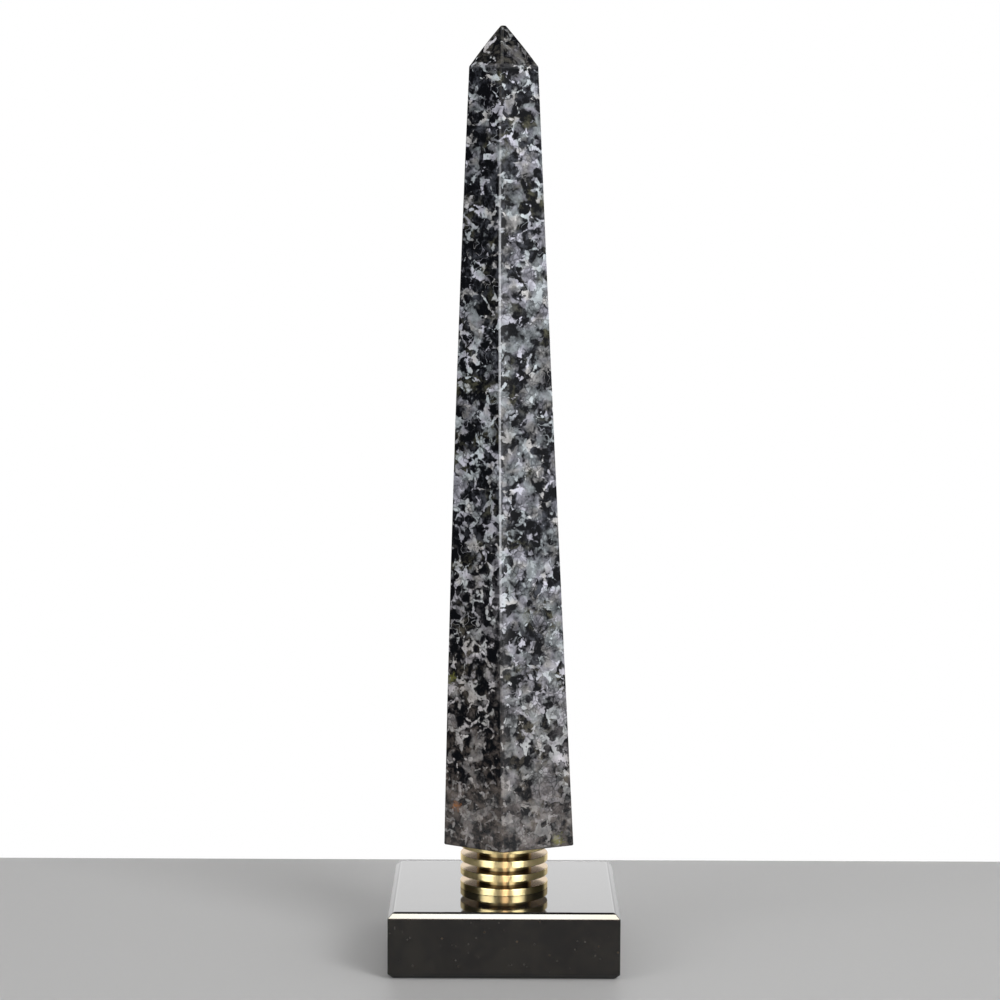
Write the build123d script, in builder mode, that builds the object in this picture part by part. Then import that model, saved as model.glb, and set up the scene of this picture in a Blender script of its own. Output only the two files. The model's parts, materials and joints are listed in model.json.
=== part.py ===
"""Stone obelisk ornament: a six-sided, hand-cut obelisk on a stack of brass discs and a granite slab.

The slab lies flat, four brass discs kept apart by three smaller spacers stand on it, and the stone
stands on the top disc. A threaded rod runs up through all of them: its top is glued into a blind hole
in the stone, and a nut and washer in a recess under the slab draw the stack together.

Millimetres, +Z up. The origin is the middle of the slab's underside. -Y is the front.
"""

import os
from math import cos, radians, sin

from build123d import *

os.makedirs("parts", exist_ok=True)

# ---------------------------------------------------------------- driving dimensions
# Granite slab
base_width = 102.0
base_height = 29.6
base_bevel = 2.4  # 45 degree bevel round the top and the underside
base_rim_radius = 2.0  # soft turn from the bevel into the top or the underside
base_edge_radius = 0.4  # the other polished edges

# Brass stack
disc_count = 4
disc_diameter = 39.6
disc_thickness = 3.15
disc_edge_radius = 0.2
spacer_diameter = 24.4
spacer_height = 3.2

# Stone: three diagonals of the foot, corner to opposite corner, and the bearing of each one's front end
foot_diagonals = (60.4, 64.6, 64.4)
corner_bearings = (-95.5, -26.9, 24.6)
shaft_length = 346.5
tip_length = 18.3
waist_scale = 0.774  # width half way up the shaft as a share of the foot's: the sides swell a little
shoulder_scale = 0.524
tip_flat = 2.2  # width of the point's small blunt end, before it is rounded
tip_swell = 1.04  # width half way up the tip as a share of what straight sides would give
# How far the hand-cut stone's middle lies to the right of the rod, at each level
foot_shift = 2.3
waist_shift = -0.35
shoulder_shift = -1.5
tip_shift = -1.9
arris_radius = 1.0  # polished edges of the shaft and the tip
foot_chamfer = 0.4

# Threaded rod, nut and washer
rod_diameter = 8.0
rod_chamfer = 0.8
rod_hole_depth = 45.0  # blind hole in the stone
rod_end_gap = 1.0  # space over the rod's top end
glue_gap = 0.3  # all round the rod in the stone
bore_clearance = 0.2  # all round the rod in the brass
thread_clearance = 0.1  # all round the rod in the nut
slab_clearance = 0.5  # all round the rod in the slab
recess_diameter = 26.0
recess_depth = 13.0
washer_diameter = 20.0
washer_thickness = 1.6
nut_across_flats = 13.0
nut_height = 6.5
nut_chamfer = 0.6
rod_past_nut = 1.5

# ---------------------------------------------------------------- heights that follow
stack_height = disc_count * disc_thickness + (disc_count - 1) * spacer_height
stack_pitch = disc_thickness + spacer_height
stone_bottom = base_height + stack_height
waist_height = stone_bottom + shaft_length / 2
shoulder_height = stone_bottom + shaft_length
tip_height = shoulder_height + tip_length
tip_scale = tip_flat / foot_diagonals[0]
washer_bottom = recess_depth - washer_thickness
nut_bottom = washer_bottom - nut_height
rod_bottom = nut_bottom - rod_past_nut
rod_top = stone_bottom + rod_hole_depth - rod_end_gap


def section_corners(scale):
    """Corners of the stone's six-sided section: each diagonal gives one corner and its opposite."""
    near = [
        (scale * diagonal / 2 * cos(radians(bearing)), scale * diagonal / 2 * sin(radians(bearing)))
        for diagonal, bearing in zip(foot_diagonals, corner_bearings)
    ]
    return near + [(-x, -y) for x, y in near]


def save(piece, name):
    """Label a finished piece and write it as its own STEP file."""
    piece.part.label = name
    export_step(piece.part, f"parts/{name}.step")


# ---------------------------------------------------------------- granite slab
with BuildPart() as granite_base:
    with BuildSketch():
        Rectangle(base_width, base_width)
    extrude(amount=base_height)
    chamfer(granite_base.faces().filter_by(Axis.Z).edges(), length=base_bevel)
    fillet(granite_base.faces().filter_by(Axis.Z).edges(), radius=base_rim_radius)
    sides = granite_base.faces().filter_by(Axis.X) + granite_base.faces().filter_by(Axis.Y)
    mitres = granite_base.edges().filter_by(lambda edge: base_bevel / 2 < edge.length < 2 * base_bevel)
    fillet(sides.edges() + mitres.filter_by(GeomType.LINE), radius=base_edge_radius)
    with BuildSketch():
        Circle(rod_diameter / 2 + slab_clearance)
    extrude(amount=base_height, mode=Mode.SUBTRACT)
    with BuildSketch():
        Circle(recess_diameter / 2)
    extrude(amount=recess_depth, mode=Mode.SUBTRACT)
save(granite_base, "granite_base")

# ---------------------------------------------------------------- brass discs and the spacers between
for number in range(disc_count):
    with BuildPart() as disc:
        with BuildSketch(Plane.XY.offset(base_height + number * stack_pitch)):
            Circle(disc_diameter / 2)
        extrude(amount=disc_thickness)
        fillet(disc.edges(), radius=disc_edge_radius)
        with BuildSketch(Plane.XY.offset(base_height + number * stack_pitch)):
            Circle(rod_diameter / 2 + bore_clearance)
        extrude(amount=disc_thickness, mode=Mode.SUBTRACT)
    save(disc, f"brass_disc_{number + 1}")

for number in range(disc_count - 1):
    with BuildPart() as spacer:
        with BuildSketch(Plane.XY.offset(base_height + number * stack_pitch + disc_thickness)):
            Circle(spacer_diameter / 2)
            Circle(rod_diameter / 2 + bore_clearance, mode=Mode.SUBTRACT)
        extrude(amount=spacer_height)
    save(spacer, f"brass_spacer_{number + 1}")

# ---------------------------------------------------------------- stone obelisk
# The section keeps its shape and shrinks upwards. The six sides of the shaft and of the tip are very
# slightly bowed, as hand grinding leaves them.
with BuildPart() as obelisk:
    with BuildSketch(Plane((foot_shift, 0, stone_bottom))):
        Polygon(*section_corners(1), align=None)
    with BuildSketch(Plane((waist_shift, 0, waist_height))):
        Polygon(*section_corners(waist_scale), align=None)
    with BuildSketch(Plane((shoulder_shift, 0, shoulder_height))):
        Polygon(*section_corners(shoulder_scale), align=None)
    loft()
    with BuildSketch(Plane((shoulder_shift, 0, shoulder_height))):
        Polygon(*section_corners(shoulder_scale), align=None)
    with BuildSketch(Plane(((shoulder_shift + tip_shift) / 2, 0, shoulder_height + tip_length / 2))):
        Polygon(*section_corners(tip_swell * (shoulder_scale + tip_scale) / 2), align=None)
    with BuildSketch(Plane((tip_shift, 0, tip_height))):
        Polygon(*section_corners(tip_scale), align=None)
    loft()
    foot_edges = obelisk.faces().sort_by(Axis.Z)[0].edges()
    fillet(obelisk.edges() - foot_edges, radius=arris_radius)
    chamfer(obelisk.faces().sort_by(Axis.Z)[0].edges(), length=foot_chamfer)
    with BuildSketch(Plane.XY.offset(stone_bottom)):
        Circle(rod_diameter / 2 + glue_gap)
    extrude(amount=rod_hole_depth, mode=Mode.SUBTRACT)
save(obelisk, "obelisk_stone")

# ---------------------------------------------------------------- rod, washer and nut
with BuildPart() as threaded_rod:
    with BuildSketch(Plane.XY.offset(rod_bottom)):
        Circle(rod_diameter / 2)
    extrude(amount=rod_top - rod_bottom)
    chamfer(threaded_rod.edges().filter_by(GeomType.CIRCLE), length=rod_chamfer)
save(threaded_rod, "threaded_rod")

with BuildPart() as washer:
    with BuildSketch(Plane.XY.offset(washer_bottom)):
        Circle(washer_diameter / 2)
        Circle(rod_diameter / 2 + bore_clearance, mode=Mode.SUBTRACT)
    extrude(amount=washer_thickness)
save(washer, "steel_washer")

with BuildPart() as nut:
    with BuildSketch(Plane.XY.offset(nut_bottom)):
        RegularPolygon(nut_across_flats / 2, 6, major_radius=False)
    extrude(amount=nut_height)
    with BuildSketch(Plane.XY.offset(nut_bottom)):
        Circle(nut_across_flats / 2 + nut_chamfer)
    extrude(amount=nut_height, mode=Mode.INTERSECT)
    with BuildSketch(Plane.XY.offset(nut_bottom)):
        Circle(rod_diameter / 2 + thread_clearance)
    extrude(amount=nut_height, mode=Mode.SUBTRACT)
save(nut, "hex_nut")

print(f"overall height {tip_height:.1f} mm, stack height {stack_height:.2f} mm")
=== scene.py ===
"""Looks of a table ornament: a polished six-sided stone obelisk on a turned brass collar and a granite slab.

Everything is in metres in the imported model's frame: +Z is up, -Y is the front, and the origin is the
middle of the slab's underside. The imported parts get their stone, brass and zinc here and keep their own
shapes, except for the rod and the nut, which finer pieces stand for. The studio is a pale table top, a
white backdrop and soft window light.
"""

import json
import math
from types import SimpleNamespace

import bpy
import numpy as np
from mathutils import Matrix, Vector


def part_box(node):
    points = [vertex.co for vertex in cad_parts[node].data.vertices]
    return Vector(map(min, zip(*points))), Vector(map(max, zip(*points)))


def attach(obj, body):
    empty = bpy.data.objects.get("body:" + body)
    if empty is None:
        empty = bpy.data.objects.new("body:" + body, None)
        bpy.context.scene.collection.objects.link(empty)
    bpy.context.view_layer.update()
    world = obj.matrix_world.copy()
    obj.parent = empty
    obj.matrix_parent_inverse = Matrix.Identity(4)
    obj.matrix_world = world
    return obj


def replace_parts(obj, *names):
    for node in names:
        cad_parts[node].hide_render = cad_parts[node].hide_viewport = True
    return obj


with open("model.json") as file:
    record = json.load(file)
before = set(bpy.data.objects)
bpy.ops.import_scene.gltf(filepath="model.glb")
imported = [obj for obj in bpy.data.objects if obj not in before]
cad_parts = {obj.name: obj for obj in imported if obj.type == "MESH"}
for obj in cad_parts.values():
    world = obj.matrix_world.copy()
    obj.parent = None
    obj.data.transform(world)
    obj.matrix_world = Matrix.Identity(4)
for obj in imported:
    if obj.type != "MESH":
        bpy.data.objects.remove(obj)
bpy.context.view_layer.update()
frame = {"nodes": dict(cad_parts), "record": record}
scene = bpy.context.scene
MM = 0.001


# ---------------------------------------------------------------- node helpers


class Nodes:
    """Short ways to add and join the nodes of one tree."""

    def __init__(self, tree):
        self.tree = tree

    def put(self, socket, value):
        """Links an output to the socket, or sets the socket's plain value."""
        if isinstance(value, bpy.types.NodeSocket):
            self.tree.links.new(value, socket)
        else:
            socket.default_value = value

    def add(self, kind, values=None, **settings):
        """A node of that kind with its settings, its inputs linked or set by name or number."""
        node = self.tree.nodes.new("ShaderNode" + kind)
        for name, value in settings.items():
            setattr(node, name, value)
        for key, value in (values or {}).items():
            self.put(node.inputs[key], value)
        return node

    def math(self, operation, a, b=0.0, c=0.0, clamp=False):
        return self.add("Math", {0: a, 1: b, 2: c}, operation=operation, use_clamp=clamp).outputs[0]

    def plus(self, a, b):
        return self.math("ADD", a, b)

    def times(self, first, *others):
        for value in others:
            first = self.math("MULTIPLY", first, value)
        return first

    def less(self, mask, share):
        """A factor that falls from 1 by that share where the mask is 1."""
        return self.math("MULTIPLY_ADD", mask, -share, 1.0)

    def larger(self, a, b):
        return self.math("MAXIMUM", a, b)

    def unsigned(self, value):
        return self.math("ABSOLUTE", value)

    def weigh(self, *terms):
        """The sum of value times weight over the terms."""
        total = 0.0
        for value, weight in terms:
            total = self.math("MULTIPLY_ADD", value, weight, total)
        return total

    def step(self, value, low, high, to_low=0.0, to_high=1.0):
        """A soft step: to_low where value is on low's side, to_high where it is on high's side."""
        node = self.add("MapRange", {"Value": value, 1: low, 2: high, 3: to_low, 4: to_high})
        node.interpolation_type = "SMOOTHSTEP"
        return node.outputs[0]

    def between(self, value, rise, fall):
        """1 between the two soft steps: up over the pair of values in rise, down over the pair in fall."""
        return self.times(self.step(value, *rise), self.step(value, *fall[::-1]))

    def mix(self, factor, a, b):
        node = self.add("Mix", data_type="RGBA")
        for number, value in ((0, factor), (6, a), (7, b)):
            self.put(node.inputs[number], value)
        return node.outputs[2]

    def ramp(self, value, *stops):
        """A grey that runs softly through the stops, each a value from 0 to 1 and its grey."""
        node = self.add("ValToRGB", {0: value})
        line = node.color_ramp
        line.interpolation = "EASE"
        while len(line.elements) < len(stops):
            line.elements.new(0.5)
        for spot, (at, grey) in zip(line.elements, stops):
            spot.position = at
            spot.color = rgb(grey)
        return node.outputs[0]

    def vector(self, operation, a, b=None, scale=None):
        node = self.add("VectorMath", {0: a}, operation=operation)
        if b is not None:
            self.put(node.inputs[1], b)
        if scale is not None:
            self.put(node.inputs["Scale"], scale)
        return node.outputs[0]

    def length(self, vector):
        return self.add("VectorMath", {0: vector}, operation="LENGTH").outputs["Value"]

    def split(self, vector):
        return self.add("SeparateXYZ", {0: vector}).outputs

    def join(self, x, z):
        return self.add("CombineXYZ", {0: x, 2: z}).outputs[0]

    def noise(self, place, scale, detail=2.0, roughness=0.5, output=0):
        """A noise with that many waves to the metre. Output 1 is three noises in one colour."""
        values = {"Vector": place, "Scale": scale, "Detail": detail, "Roughness": roughness}
        return self.add("TexNoise", values).outputs[output]

    def cells(self, place, scale, feature="F1"):
        """Irregular cells, that many to the metre."""
        return self.add("TexVoronoi", {"Vector": place, "Scale": scale}, feature=feature).outputs

    def chances(self, cell):
        """Three random values from 0 to 1 for each cell."""
        return self.add("SeparateColor", {0: cell["Color"]}).outputs

    def bump(self, height):
        """The normal of a relief whose height is in metres."""
        return self.add("Bump", {"Height": height, "Strength": 1.0, "Distance": 1.0}).outputs[0]

    def place(self):
        return self.add("TexCoord").outputs["Object"]


def rgb(*parts):
    """A colour from three linear parts, or a grey from one."""
    return (*(parts if len(parts) == 3 else parts * 3), 1.0)


def new_group(name, inputs, outputs):
    """A shader node group with the named inputs and outputs, and its nodes, input and output ends."""
    tree = bpy.data.node_groups.new(name, "ShaderNodeTree")
    for label, kind, value in inputs:
        socket = tree.interface.new_socket(label, in_out="INPUT", socket_type="NodeSocket" + kind)
        if value is not None:
            socket.default_value = value
    for label, kind in outputs:
        tree.interface.new_socket(label, in_out="OUTPUT", socket_type="NodeSocket" + kind)
    nodes = Nodes(tree)
    start = tree.nodes.new("NodeGroupInput").outputs
    end = tree.nodes.new("NodeGroupOutput").inputs
    return tree, nodes, start, end


def new_material(name):
    """A material with its Principled shader, its nodes and the shader's inputs."""
    material = bpy.data.materials.new(name)
    material.use_nodes = True
    material.node_tree.nodes.clear()
    nodes = Nodes(material.node_tree)
    shader = nodes.add("BsdfPrincipled")
    nodes.add("OutputMaterial", {"Surface": shader.outputs[0]})
    return material, nodes, shader.inputs


# ---------------------------------------------------------------- effects that several finishes share


def warped_place():
    """Shifts a place by a broad and a fine noise, so that what is drawn there gets ragged outlines."""
    inputs = (
        ("Place", "Vector", None),
        ("Broad Scale", "Float", 200.0),
        ("Broad Shift", "Float", 0.004),
        ("Fine Scale", "Float", 700.0),
        ("Fine Shift", "Float", 0.001),
    )
    tree, nodes, start, end = new_group("warped place", inputs, (("Place", "Vector"),))
    place = start["Place"]
    for size in ("Broad", "Fine"):
        blown = nodes.noise(start["Place"], start[size + " Scale"], 1.0, output=1)
        shift = nodes.vector("SUBTRACT", blown, (0.5, 0.5, 0.5))
        shift = nodes.vector("SCALE", shift, scale=start[size + " Shift"])
        place = nodes.vector("ADD", place, shift)
    nodes.put(end["Place"], place)
    return tree


def polish_waves():
    """The faint unevenness that hand polishing leaves: broad swells and finer ripples."""
    inputs = (("Place", "Vector", None), ("Scale", "Float", 40.0))
    tree, nodes, start, end = new_group("polish waves", inputs, (("Height", "Float"),))
    broad = nodes.noise(start["Place"], start["Scale"], 1.0)
    fine = nodes.noise(start["Place"], nodes.times(start["Scale"], 6.0), 2.0)
    nodes.put(end["Height"], nodes.weigh((broad, 1.0), (fine, 0.12)))
    return tree


def turning_marks():
    """Fine rings left by a cutting tool: a noise over the distance from the axis and the height alone."""
    inputs = (("Place", "Vector", None), ("Scale", "Float", 2500.0))
    tree, nodes, start, end = new_group("turning marks", inputs, (("Height", "Float"),))
    radius = nodes.length(nodes.vector("MULTIPLY", start["Place"], (1.0, 1.0, 0.0)))
    rings = nodes.join(radius, nodes.split(start["Place"])[2])
    nodes.put(end["Height"], nodes.noise(rings, start["Scale"], 2.0, 0.6))
    return tree


WARP = warped_place()
WAVES = polish_waves()
MARKS = turning_marks()


def use(nodes, tree, values):
    """Places a group with its values."""
    node = nodes.add("Group", node_tree=tree)
    for key, value in values.items():
        nodes.put(node.inputs[key], value)
    return node.outputs


# ---------------------------------------------------------------- the stone's finish

TIP_LENGTH = 18.3 * MM
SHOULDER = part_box("obelisk_stone")[1][2] - TIP_LENGTH  # where the shaft turns over into the tip
SMALL_GRAINS = 420.0  # to the metre

# Pyroxene is black, and the cores of some grains are blue grey, olive, brown or, in the tip, dun
BLACK = rgb(0.0045, 0.0050, 0.0065)
BLUE_CORE = rgb(0.075, 0.080, 0.096)
OLIVE_CORE = rgb(0.090, 0.088, 0.060)
BROWN_CORE = rgb(0.108, 0.090, 0.080)
DUN_CORE = rgb(0.080, 0.074, 0.052)

# Feldspar is lilac or blue with some grey patches, and warmer towards the foot
LILAC_PALE = rgb(0.600, 0.597, 0.685)
BLUE_PALE = rgb(0.575, 0.628, 0.660)
GREY_PALE = rgb(0.620, 0.607, 0.600)
WARM_PALE = rgb(0.625, 0.585, 0.560)
# painted highlight: a white laid along the stone's front edge in place of the reflection that edge shows
HIGHLIGHT_WHITE = rgb(0.72, 0.74, 0.78)

# Stains in the stone's front: how far right of the middle, the height, the size, and the colour
STAINS = (
    (-0.0215, 0.0700, 0.0030, rgb(0.30, 0.115, 0.035)),
    (0.0238, 0.0548, 0.0040, rgb(0.20, 0.190, 0.070)),
    (-0.0240, 0.1270, 0.0035, rgb(0.17, 0.170, 0.050)),
)


def front_edge():
    """The sideways place of the stone's front edge by height, as a curve of second degree.

    It is fitted to the corners of the mesh, below the tip, that lie nearest the front at their height.
    """
    mesh = frame["nodes"]["obelisk_stone"].data
    points = np.empty(3 * len(mesh.vertices), dtype=np.float32)
    mesh.vertices.foreach_get("co", points)
    x, y, z = points.reshape(-1, 3).T
    low, high = z.min(), z.max() - 20 * MM
    front = np.interp(z, (low, high), (y.min(), y[np.abs(z - high) < 2 * MM].min()))
    edge = (y < 0.97 * front) & (z < high)
    return (float(value) for value in np.polyfit(z[edge], x[edge], 2))


def stone_zones(nodes, place):
    """Where on the stone a place is.

    Side and height are in metres. Across is in millimetres to the right of the front edge, and from_edge is
    the same without its sign. The rest are masks.
    """
    side, depth, height = nodes.split(place)
    bend, lean, foot_side = front_edge()
    edge = nodes.weigh((nodes.times(height, height), bend), (height, lean), (1.0, foot_side))
    across = nodes.times(nodes.math("SUBTRACT", side, edge), 1 / MM)
    right_face = nodes.step(across, -1.0, 2.5)
    tip = nodes.step(height, SHOULDER - 1 * MM, SHOULDER + 2 * MM)
    below_tip = nodes.step(height, SHOULDER + 8 * MM, SHOULDER - 40 * MM)
    return SimpleNamespace(
        side=side,
        height=height,
        across=across,
        from_edge=nodes.unsigned(across),
        front=nodes.step(depth, 2 * MM, -2 * MM),
        foot=nodes.step(height, 118 * MM, 62 * MM),
        right=nodes.times(right_face, below_tip),
        tip=tip,
        right_of_tip=nodes.times(right_face, tip),
    )


def stone_grain(nodes, place):
    """The noises and cells that draw the grains. Those on ragged have ragged outlines."""
    values = {"Broad Scale": 160.0, "Broad Shift": 3.0 * MM, "Fine Scale": 520.0, "Fine Shift": 0.9 * MM}
    ragged = use(nodes, WARP, {"Place": place, **values})["Place"]
    return SimpleNamespace(
        ragged=ragged,
        shifted=nodes.vector("ADD", ragged, (0.3, 0.1, 0.2)),
        broad=nodes.noise(place, 28.0),
        patch=nodes.noise(place, 90.0, 1.0),
        strength=nodes.noise(place, 95.0, 1.0),
        grit=nodes.noise(place, 900.0, 1.0),
        soft=nodes.noise(nodes.vector("ADD", ragged, (0.1, 0.2, 0.3)), 210.0),
        cloud=nodes.noise(ragged, 330.0, 3.0, 0.62),
        mottle=nodes.noise(ragged, 420.0, 4.0, 0.65),
        bite=nodes.chances(nodes.cells(ragged, SMALL_GRAINS)),
    )


def feldspar_web(nodes, zone, grain):
    """Opaque feldspar between the dark grains: bright where it meets them, greyer further in."""
    lobes = nodes.noise(grain.ragged, 165.0)
    cracks = nodes.cells(grain.ragged, 155.0, "DISTANCE_TO_EDGE")["Distance"]
    # inside is 0 where the web meets the dark grains and grows into the web
    inside = nodes.weigh((lobes, 6.0), (grain.broad, 3.0), (cracks, -6.5), (grain.bite[0], 1.3))
    inside = nodes.weigh((inside, 1.0), (grain.grit, 1.4), (1.0, -5.62))
    depth = nodes.weigh((inside, 0.25), (1.0, 0.375))
    rim = nodes.ramp(depth, (0.33, 0.0), (0.385, 0.10), (0.47, 0.85), (0.65, 0.80), (0.85, 0.55))
    # on the right face the tone changes more softly, partly the stone's own pattern and partly painted sheen
    # for the veil reflected on that face
    sharp = nodes.weigh((nodes.plus(grain.cloud, -0.5), 2.2), (nodes.plus(grain.bite[1], -0.5), 0.3))
    sharp = nodes.times(sharp, nodes.less(zone.right, 0.55))
    blurred = nodes.times(nodes.plus(grain.soft, -0.5), zone.right)
    tone = nodes.weigh((sharp, 1.0), (blurred, 1.6), (grain.strength, 1.8), (1.0, -0.10))
    # painted shade: away from the right face the feldspar is kept 7 percent darker
    return nodes.times(rim, tone, nodes.weigh((zone.right, 0.07), (1.0, 0.93)))


def feldspar_haze(nodes, zone, grain):
    """Half clear feldspar over dark grains."""
    # painted sheen: more haze on the right face, standing in for the veil reflected there
    spread = nodes.weigh((nodes.noise(grain.shifted, 120.0, 3.0, 0.55), 1.0), (zone.right, 0.09))
    fine = nodes.noise(grain.ragged, 520.0, 4.0, 0.7)
    tone = nodes.weigh((fine, 0.8), (grain.soft, 1.1), (grain.bite[2], 0.06), (1.0, -0.70))
    return nodes.times(nodes.step(spread, 0.55, 0.62), tone)


def feldspar_laths(nodes, grain):
    """Thin bright laths, where a noise is near its middle value."""
    ridge = nodes.unsigned(nodes.plus(nodes.noise(grain.ragged, 230.0, 1.0), -0.5))
    lath = nodes.times(nodes.step(ridge, 0.018, 0.004), nodes.step(grain.patch, 0.60, 0.66))
    return nodes.times(lath, 0.42)


def feldspar_share(nodes, zone, grain):
    """How pale a place is, from 0 in a black grain to 1 in clean feldspar."""
    pale = nodes.larger(feldspar_web(nodes, zone, grain), feldspar_haze(nodes, zone, grain))
    pale = nodes.larger(pale, feldspar_laths(nodes, grain))
    # dark specks in the feldspar
    tiny = nodes.cells(grain.ragged, 1000.0)
    speck = nodes.step(nodes.chances(tiny)[0], 0.90, 0.93)
    speck = nodes.times(speck, nodes.step(tiny["Distance"], 0.50, 0.25))
    # thin dark joints round the smaller grains
    joint = nodes.cells(grain.ragged, SMALL_GRAINS, "DISTANCE_TO_EDGE")["Distance"]
    joint = nodes.times(nodes.step(joint, 0.16, 0.05), nodes.step(grain.patch, 0.52, 0.42))
    # painted dark reflection: a dark strip just left of the front edge in the lower half
    dark_reflection = nodes.between(zone.across, (-3.4, -2.2), (-0.6, -0.2))
    low_half = nodes.between(zone.height, (56 * MM, 70 * MM), (175 * MM, 195 * MM))
    dark_reflection = nodes.times(dark_reflection, zone.front, low_half, nodes.step(grain.soft, 0.66, 0.50))
    dimmer = nodes.weigh((zone.foot, -0.5), (zone.right_of_tip, -0.65), (1.0, 1.0))
    return nodes.times(
        pale, dimmer, nodes.less(speck, 0.6), nodes.less(joint, 0.55), nodes.less(dark_reflection, 0.8)
    )


def grain_colours(nodes, place, zone, grain):
    """The colour of the dark grains and that of the feldspar."""
    warm = nodes.step(nodes.weigh((zone.height, 1.0), (zone.right, 50 * MM)), 225 * MM, 70 * MM)
    warm = nodes.larger(warm, nodes.times(zone.tip, 0.4))
    olive = nodes.step(nodes.noise(place, 75.0, 1.0), 0.50, 0.62)
    core = nodes.mix(olive, BLUE_CORE, OLIVE_CORE)
    core = nodes.mix(warm, core, BROWN_CORE)
    core = nodes.mix(nodes.times(zone.tip, 0.6), core, DUN_CORE)
    level = nodes.weigh((grain.mottle, 2.4), (nodes.noise(grain.shifted, 160.0, 1.0), 1.8))
    level = nodes.weigh((level, 1.0), (grain.bite[2], 0.25), (zone.foot, 0.3), (zone.tip, 0.15))
    dark_colour = nodes.mix(nodes.step(level, 2.1, 3.1), BLACK, core)
    tint = nodes.split(nodes.noise(grain.ragged, 130.0, 1.0, output=1))
    pale_colour = nodes.mix(nodes.step(tint[0], 0.40, 0.60), LILAC_PALE, BLUE_PALE)
    pale_colour = nodes.mix(nodes.step(tint[1], 0.50, 0.68), pale_colour, GREY_PALE)
    pale_colour = nodes.mix(nodes.times(warm, 0.8), pale_colour, WARM_PALE)
    return dark_colour, pale_colour


def edge_highlight_and_stains(nodes, colour, zone, grain):
    """Paints a highlight along the front edge above the foot, in place of that edge's reflection, and puts
    small stains near the foot.
    """
    # painted highlight along the front edge above the foot, standing in for its reflection line
    edge_highlight = nodes.between(zone.height, (140 * MM, 190 * MM), (310 * MM, 385 * MM))
    edge_highlight = nodes.times(edge_highlight, nodes.step(zone.from_edge, 0.65, 0.30), zone.front)
    edge_highlight = nodes.times(edge_highlight, nodes.step(grain.grit, 0.25, 0.60, 0.30, 0.55))
    colour = nodes.mix(edge_highlight, colour, HIGHLIGHT_WHITE)
    for right_of_middle, up, size, stain in STAINS:
        away = nodes.length(nodes.join(nodes.plus(zone.side, -right_of_middle), nodes.plus(zone.height, -up)))
        ragged_away = nodes.weigh((away, 1.0 / size), (grain.mottle, 3.0), (grain.grit, 2.0))
        spot = nodes.times(nodes.step(ragged_away, 3.4, 2.2, 0.0, 0.85), zone.front)
        colour = nodes.mix(spot, colour, stain)
    return colour


def polished_gabbro():
    """Black pyroxene grains in a branching web of pale feldspar, with olive and rust in places."""
    material, nodes, shader = new_material("polished gabbro")
    place = nodes.place()
    zone, grain = stone_zones(nodes, place), stone_grain(nodes, place)
    pale = feldspar_share(nodes, zone, grain)
    dark_colour, pale_colour = grain_colours(nodes, place, zone, grain)
    colour = nodes.mix(pale, dark_colour, pale_colour)
    nodes.put(shader["Base Color"], edge_highlight_and_stains(nodes, colour, zone, grain))
    # duller where the shaft turns over into the tip, and on the front edge of the foot and of the tip
    turn_over = nodes.step(nodes.unsigned(nodes.plus(zone.height, -SHOULDER)), 1.2 * MM, 0.7 * MM)
    low_edge = nodes.times(nodes.step(zone.from_edge, 1.0, 0.5), nodes.step(zone.height, 150 * MM, 125 * MM))
    tip_edge = nodes.step(nodes.unsigned(nodes.plus(zone.across, -0.6)), 0.9, 0.5)
    tip_edge = nodes.times(tip_edge, nodes.step(zone.height, SHOULDER - 1 * MM, SHOULDER))
    edges = nodes.times(nodes.larger(low_edge, tip_edge), zone.front)
    roughness = nodes.weigh((pale, -0.03), (edges, 0.28), (turn_over, 0.55), (1.0, 0.10))
    nodes.put(shader["Roughness"], roughness)
    shader["IOR"].default_value = 1.5
    shader["Specular IOR Level"].default_value = 0.3
    # hand polishing leaves faint waves, and turns the right face down a little before its front edge
    turn_starts, turn_ends = 8.0, 0.8  # millimetres from the edge
    waves = use(nodes, WAVES, {"Place": place, "Scale": 45.0})["Height"]
    near = nodes.math("SUBTRACT", turn_starts, nodes.larger(zone.across, turn_ends))
    near = nodes.larger(near, 0.0)
    surface = nodes.weigh((waves, 0.08 * MM), (nodes.times(near, near), -0.0045 * MM))
    nodes.put(shader["Normal"], nodes.bump(surface))
    return material


# ---------------------------------------------------------------- the other finishes


def polished_granite():
    """Nearly black, with sparse flecks of grey and brown mica."""
    material, nodes, shader = new_material("polished black granite")
    place = nodes.place()
    mottle = nodes.weigh((nodes.noise(place, 60.0), 0.5), (nodes.noise(place, 260.0, 3.0), 0.5))
    body = nodes.mix(nodes.step(mottle, 0.40, 0.62), rgb(0.0030, 0.0031, 0.0030), rgb(0.0110, 0.0102, 0.0080))
    grey_mica = (900.0, 0.975, rgb(0.052, 0.050, 0.045))
    brown_mica = (700.0, 0.992, rgb(0.070, 0.052, 0.034))
    for cells_to_metre, bare_share, mica in (grey_mica, brown_mica):
        cell = nodes.cells(place, cells_to_metre)
        fleck = nodes.step(nodes.chances(cell)[0], bare_share, bare_share + 0.01)
        fleck = nodes.times(fleck, nodes.step(cell["Distance"], 0.45, 0.20))
        body = nodes.mix(fleck, body, mica)
    nodes.put(shader["Base Color"], body)
    shader["Roughness"].default_value = 0.06
    shader["IOR"].default_value = 1.5
    shader["Specular IOR Level"].default_value = 0.4
    waves = use(nodes, WAVES, {"Place": place, "Scale": 30.0})["Height"]
    nodes.put(shader["Normal"], nodes.bump(nodes.times(waves, 0.03 * MM)))
    return material


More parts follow.
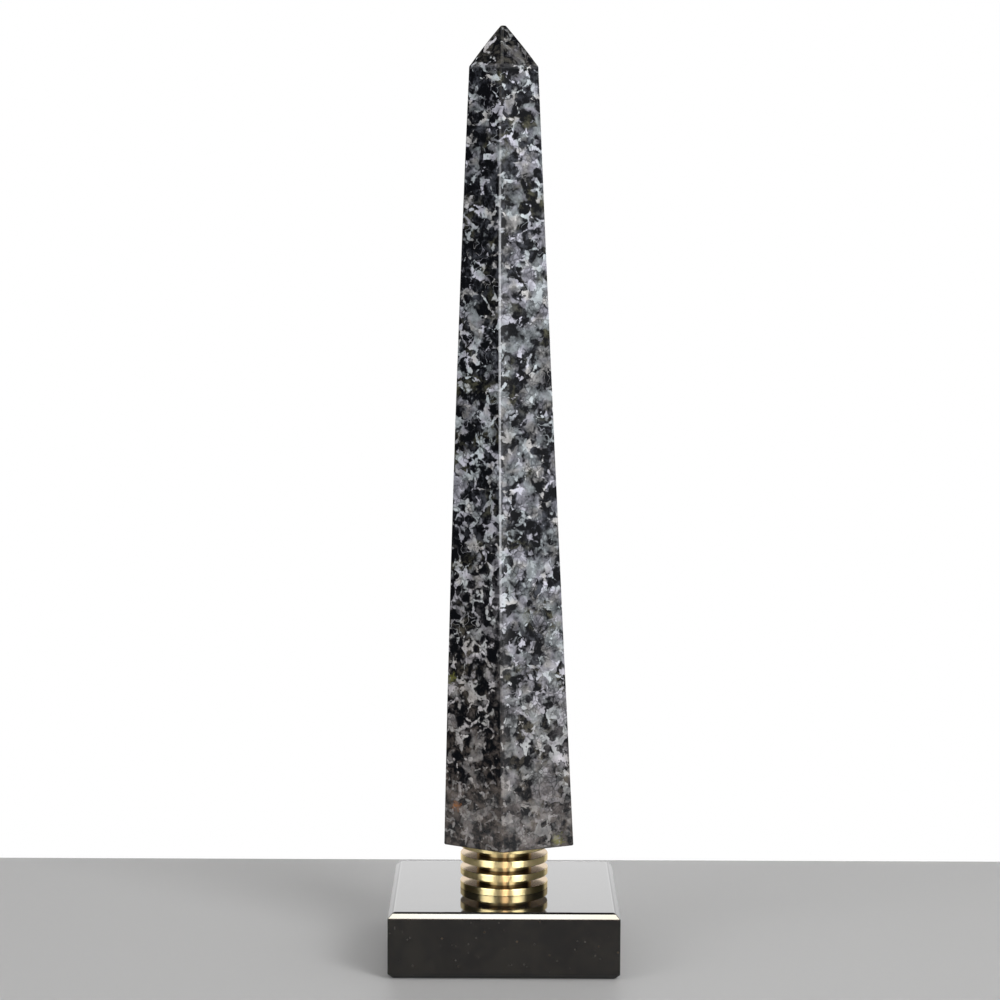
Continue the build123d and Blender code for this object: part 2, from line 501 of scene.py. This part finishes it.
def turned_brass():
    """Brass from the lathe: its rings draw reflections out along the axis, and the flat faces get painted
    shade, a dark brown for the shade in the gaps between the discs.
    """
    material, nodes, shader = new_material("turned brass")
    upward = nodes.split(nodes.add("NewGeometry").outputs["Normal"])[2]
    flat = nodes.step(nodes.unsigned(upward), 0.6, 0.95)
    # painted shade: the discs' flat faces, which lie in the gaps, are dark brown instead of brass
    nodes.put(shader["Base Color"], nodes.mix(flat, rgb(0.90, 0.745, 0.385), rgb(0.15, 0.105, 0.060)))
    shader["Metallic"].default_value = 1.0
    nodes.put(shader["Roughness"], nodes.weigh((flat, -0.08), (1.0, 0.32)))
    shader["Specular Tint"].default_value = rgb(1.0, 0.92, 0.82)
    shader["Anisotropic"].default_value = 0.92
    shader["Anisotropic Rotation"].default_value = 0.25
    tangent = nodes.add("Tangent", direction_type="RADIAL", axis="Z")
    nodes.put(shader["Tangent"], tangent.outputs[0])
    marks = use(nodes, MARKS, {"Place": nodes.place(), "Scale": 2200.0})["Height"]
    nodes.put(shader["Normal"], nodes.bump(nodes.times(marks, 0.0015 * MM)))
    return material


def zinc_plated_steel():
    """Bright zinc with faint blue and straw patches, duller where it was handled."""
    material, nodes, shader = new_material("zinc plated steel")
    place = nodes.place()
    patches = nodes.split(nodes.noise(place, 220.0, output=1))
    zinc = nodes.mix(nodes.step(patches[0], 0.40, 0.60), rgb(0.58, 0.61, 0.66), rgb(0.66, 0.63, 0.54))
    nodes.put(shader["Base Color"], zinc)
    shader["Metallic"].default_value = 1.0
    nodes.put(shader["Roughness"], nodes.step(patches[1], 0.35, 0.65, 0.24, 0.42))
    marks = use(nodes, MARKS, {"Place": place, "Scale": 1500.0})["Height"]
    nodes.put(shader["Normal"], nodes.bump(nodes.times(marks, 0.006 * MM)))
    return material


FINISHES = {
    "gabbro": polished_gabbro(),
    "granite": polished_granite(),
    "brass": turned_brass(),
    "zinc_steel": zinc_plated_steel(),
}
for part in frame["record"]["subparts"]:
    mesh = frame["nodes"][part["node"]].data
    mesh.materials.clear()
    mesh.materials.append(FINISHES[part["material_slot"]])


# ---------------------------------------------------------------- fixings under the slab


def ring_mesh(name, loops, tube):
    """A closed zinc surface through loops[i, k], point k of loop i round the axis, all of one length.

    Quads join each loop to the next. A tube's last loop joins its first. Otherwise each end loop is closed by
    a fan to its own middle.
    """
    count, around = loops.shape[:2]
    row = np.arange(count if tube else count - 1)[:, None]
    spot = np.arange(around)[None, :]
    after, above = (spot + 1) % around, (row + 1) % count
    corners = (row * around + spot, row * around + after, above * around + after, above * around + spot)
    points, faces = loops.reshape(-1, 3), np.stack(corners, -1).reshape(-1, 4).tolist()
    if not tube:
        first, last = spot[0], (count - 1) * around + spot[0]
        turned = np.roll(spot[0], -1)
        points = np.vstack((points, loops[0].mean(0), loops[-1].mean(0)))
        low_fan = np.stack((turned, first, np.full(around, len(points) - 2)), -1)
        high_fan = np.stack((last, (count - 1) * around + turned, np.full(around, len(points) - 1)), -1)
        faces += low_fan.tolist() + high_fan.tolist()
    mesh = bpy.data.meshes.new(name)
    mesh.from_pydata(points.tolist(), [], faces)
    piece = bpy.data.objects.new(name, mesh)
    scene.collection.objects.link(piece)
    mesh.materials.append(FINISHES["zinc_steel"])
    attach(piece, "root")
    return piece


def cylinder_places(radius, turn, height):
    """Points at a radius, an angle and a height, as one array."""
    return np.stack(np.broadcast_arrays(radius * np.cos(turn), radius * np.sin(turn), height), axis=-1)


def rod_with_thread():
    """A rod whose radius falls from the crest to the root and back once in every pitch along a helix.

    The radius at an angle and a height is the crest radius less the depth times a triangle wave of
    (height / pitch - angle / full turn), cut off flat at crest and root. A 45 degree taper cuts both ends.
    """
    (low, high), pitch, depth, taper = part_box("threaded_rod"), 1.25 * MM, 0.65 * MM, 0.8 * MM
    around, rows_to_pitch = 40, 8
    steepness, crest_flat = 1.25, 0.12
    crest = high[0]
    rows = 1 + rows_to_pitch * round((high[2] - low[2]) / pitch)
    height = np.linspace(low[2], high[2], rows)[:, None]
    turn = np.linspace(0, 2 * np.pi, around, endpoint=False)[None, :]
    phase = (height / pitch - turn / (2 * np.pi)) % 1.0
    groove = np.clip(steepness * (1 - np.abs(2 * phase - 1)) - crest_flat, 0, 1)
    from_end = np.minimum(height - low[2], high[2] - height)
    radius = np.minimum(crest - depth * groove, crest - taper + from_end)
    rod = ring_mesh("rod_with_thread", cylinder_places(radius, turn, height), tube=False)
    # the fans that close the ends stay flat
    smooth = np.arange(len(rod.data.polygons)) < (rows - 1) * around
    rod.data.polygons.foreach_set("use_smooth", smooth)
    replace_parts(rod, "threaded_rod")


def nut_with_chamfers():
    """A hexagon with 30 degree cones turned on its corners, above and below, round a countersunk bore.

    The radius at an angle is the flats' half width over the cosine of the angle from the middle of a flat, no
    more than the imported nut's. The cone's depth is what the radius has beyond the face circle times tan 30.
    """
    low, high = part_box("hex_nut")
    corner, flat = max(high[0], high[1]), min(high[0], high[1])
    first_corner = 0.0 if high[0] > high[1] else math.pi / 6
    around = 120
    turn = np.linspace(0, 2 * np.pi, around, endpoint=False)
    from_flat = (turn - first_corner) % (np.pi / 3) - np.pi / 6
    side = np.minimum(flat / np.cos(from_flat), corner)
    bore, mouth, face = 4.1 * MM, 4.5 * MM, 0.95 * flat
    drop = (side - face) * math.tan(math.radians(30))
    profile = (
        (bore, high[2] - (mouth - bore)),
        (bore, low[2] + (mouth - bore)),
        (mouth, low[2]),
        (face, low[2]),
        (side, low[2] + drop),
        (side, high[2] - drop),
        (face, high[2]),
        (mouth, high[2]),
    )
    loops = np.stack([cylinder_places(radius, turn, height) for radius, height in profile])
    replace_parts(ring_mesh("nut_with_chamfers", loops, tube=True), "hex_nut")


# ---------------------------------------------------------------- the studio


def table_top():
    """A plain pale board that ends a little way behind the slab."""
    left, right, front, back, thick = -0.42, 0.42, -0.50, 0.176, 0.022
    x, y, z = np.meshgrid((left, right), (front, back), (-thick, 0.0), indexing="ij")
    corners = np.stack((x, y, z), axis=-1).reshape(-1, 3)
    faces = [(0, 2, 6, 4), (1, 5, 7, 3), (0, 4, 5, 1), (2, 3, 7, 6), (0, 1, 3, 2), (4, 6, 7, 5)]
    mesh = bpy.data.meshes.new("table_top")
    mesh.from_pydata(corners.tolist(), [], faces)
    board = bpy.data.objects.new("table_top", mesh)
    scene.collection.objects.link(board)
    material, _, shader = new_material("pale table")
    shader["Base Color"].default_value = rgb(0.41)
    shader["Roughness"].default_value = 0.6
    mesh.materials.append(material)


def soft_lamp(name, place, side, power):
    """A square lamp that lights the ornament and shows neither to the camera nor in polished faces."""
    target = Vector((0, 0, 0.2))
    lamp = bpy.data.lights.new(name, "AREA")
    lamp.shape = "RECTANGLE"
    lamp.size, lamp.size_y = side, side
    lamp.energy = power
    box = bpy.data.objects.new(name, lamp)
    box.location = place
    box.rotation_euler = (target - Vector(place)).to_track_quat("-Z", "Y").to_euler()
    box.visible_camera = False
    box.visible_glossy = False
    scene.collection.objects.link(box)


def room():
    """The world: plain white for the camera, and a dim room with soft windows for polished faces."""
    world = bpy.data.worlds.new("room")
    scene.world = world
    world.use_nodes = True
    world.node_tree.nodes.clear()
    nodes = Nodes(world.node_tree)
    x, y, z = nodes.split(nodes.add("TexCoord").outputs["Generated"])
    # a direction's bearing to the right of the front, and its rise over the horizon, in degrees
    turn = nodes.times(nodes.math("ARCTAN2", x, nodes.times(y, -1.0)), 180 / math.pi)
    rise = nodes.times(nodes.math("ARCSINE", z), 180 / math.pi)

    def window(left, right, low, high, soft):
        """1 between the bearings left and right and the rises low and high, soft at its edges."""
        across = nodes.between(turn, (left - soft, left + soft), (right - soft, right + soft))
        upward = nodes.between(rise, (low - soft, low + soft), (high - soft, high + soft))
        return nodes.times(across, upward)

    # what polished faces see before them, each with its strength
    light = (
        (window(23.0, 42.0, -9.0, 14.0, 3.0), 2.0),  # low window on the right
        (window(22.0, 46.0, -7.0, 5.0, 4.0), 2.5),  # the glow on its sill
        (window(-57.0, -29.0, -9.0, 14.0, 3.0), 1.4),  # low window on the left
        (window(-55.0, -31.0, -7.0, 5.0, 4.0), 0.9),  # the glow on its sill
        (window(25.0, 57.0, 22.0, 58.0, 3.0), 15.5),  # high window on the right
        (window(-67.0, -30.0, 22.0, 58.0, 3.0), 14.0),  # high window on the left
        (window(14.0, 75.0, -40.0, 12.0, 8.0), 0.30),  # lit wall on the right
        (window(-30.0, -4.0, -30.0, 40.0, 4.0), 0.55),  # lit wall on the left
    )
    # the pale wall behind the object, brighter in the middle
    behind = nodes.step(y, 0.60, 0.74)
    panel = nodes.between(rise, (-6.0, -2.0), (22.0, 28.0))
    panel = nodes.times(panel, behind, nodes.step(nodes.unsigned(x), 0.26, 0.16))
    seen = nodes.weigh(*light, (panel, 1.15), (behind, 1.05), (1.0, 0.02))
    # straight in front a doorway under a fanlight, and overhead a lamp that is warmer towards its ends
    doorway = window(-3.5, 11.0, -3.0, 14.0, 1.5)
    fanlight = window(-3.5, 11.0, 22.0, 55.0, 1.5)
    lamp = window(-25.0, 25.0, 74.0, 76.9, 0.9)
    lamp_end = nodes.step(nodes.unsigned(turn), 3.0, 16.0)
    lamp_colour = nodes.mix(lamp_end, rgb(34.0, 33.2, 31.0), rgb(33.0, 30.0, 22.0))
    seen = nodes.mix(doorway, seen, rgb(3.0, 2.5, 2.3))
    seen = nodes.mix(fanlight, seen, rgb(12.5, 9.6, 8.4))
    seen = nodes.mix(lamp, seen, lamp_colour)
    # plain light for everything else, brighter from the right
    path = nodes.add("LightPath").outputs
    shiny = nodes.math("ADD", path["Is Glossy Ray"], path["Is Transmission Ray"], clamp=True)
    dome = nodes.step(x, -1.0, 1.0, 0.35, 0.75)
    level = nodes.mix(shiny, dome, seen)
    level = nodes.mix(path["Is Camera Ray"], level, rgb(1.0))
    back = nodes.add("Background", {"Color": level, "Strength": 1.0})
    nodes.add("OutputWorld", {"Surface": back.outputs[0]})


def camera():
    """A long lens in front of the ornament's upper half, looking slightly down."""
    data = bpy.data.cameras.new("camera")
    data.lens = 100.1
    data.sensor_width = 36.0
    down, roll = 5.96, 0.229
    turn = Matrix.Rotation(math.radians(90 - down), 4, "X") @ Matrix.Rotation(math.radians(roll), 4, "Z")
    viewer = bpy.data.objects.new("camera", data)
    viewer.matrix_world = Matrix.Translation((-2.5 * MM, -1241.1 * MM, 335.8 * MM)) @ turn
    scene.collection.objects.link(viewer)
    scene.camera = viewer


rod_with_thread()
nut_with_chamfers()
table_top()
room()
soft_lamp("key", (1.0, -1.3, 1.1), side=0.8, power=22)
soft_lamp("fill", (-1.3, -1.2, 0.9), side=1.0, power=6)
camera()
scene.view_settings.view_transform = "Standard"
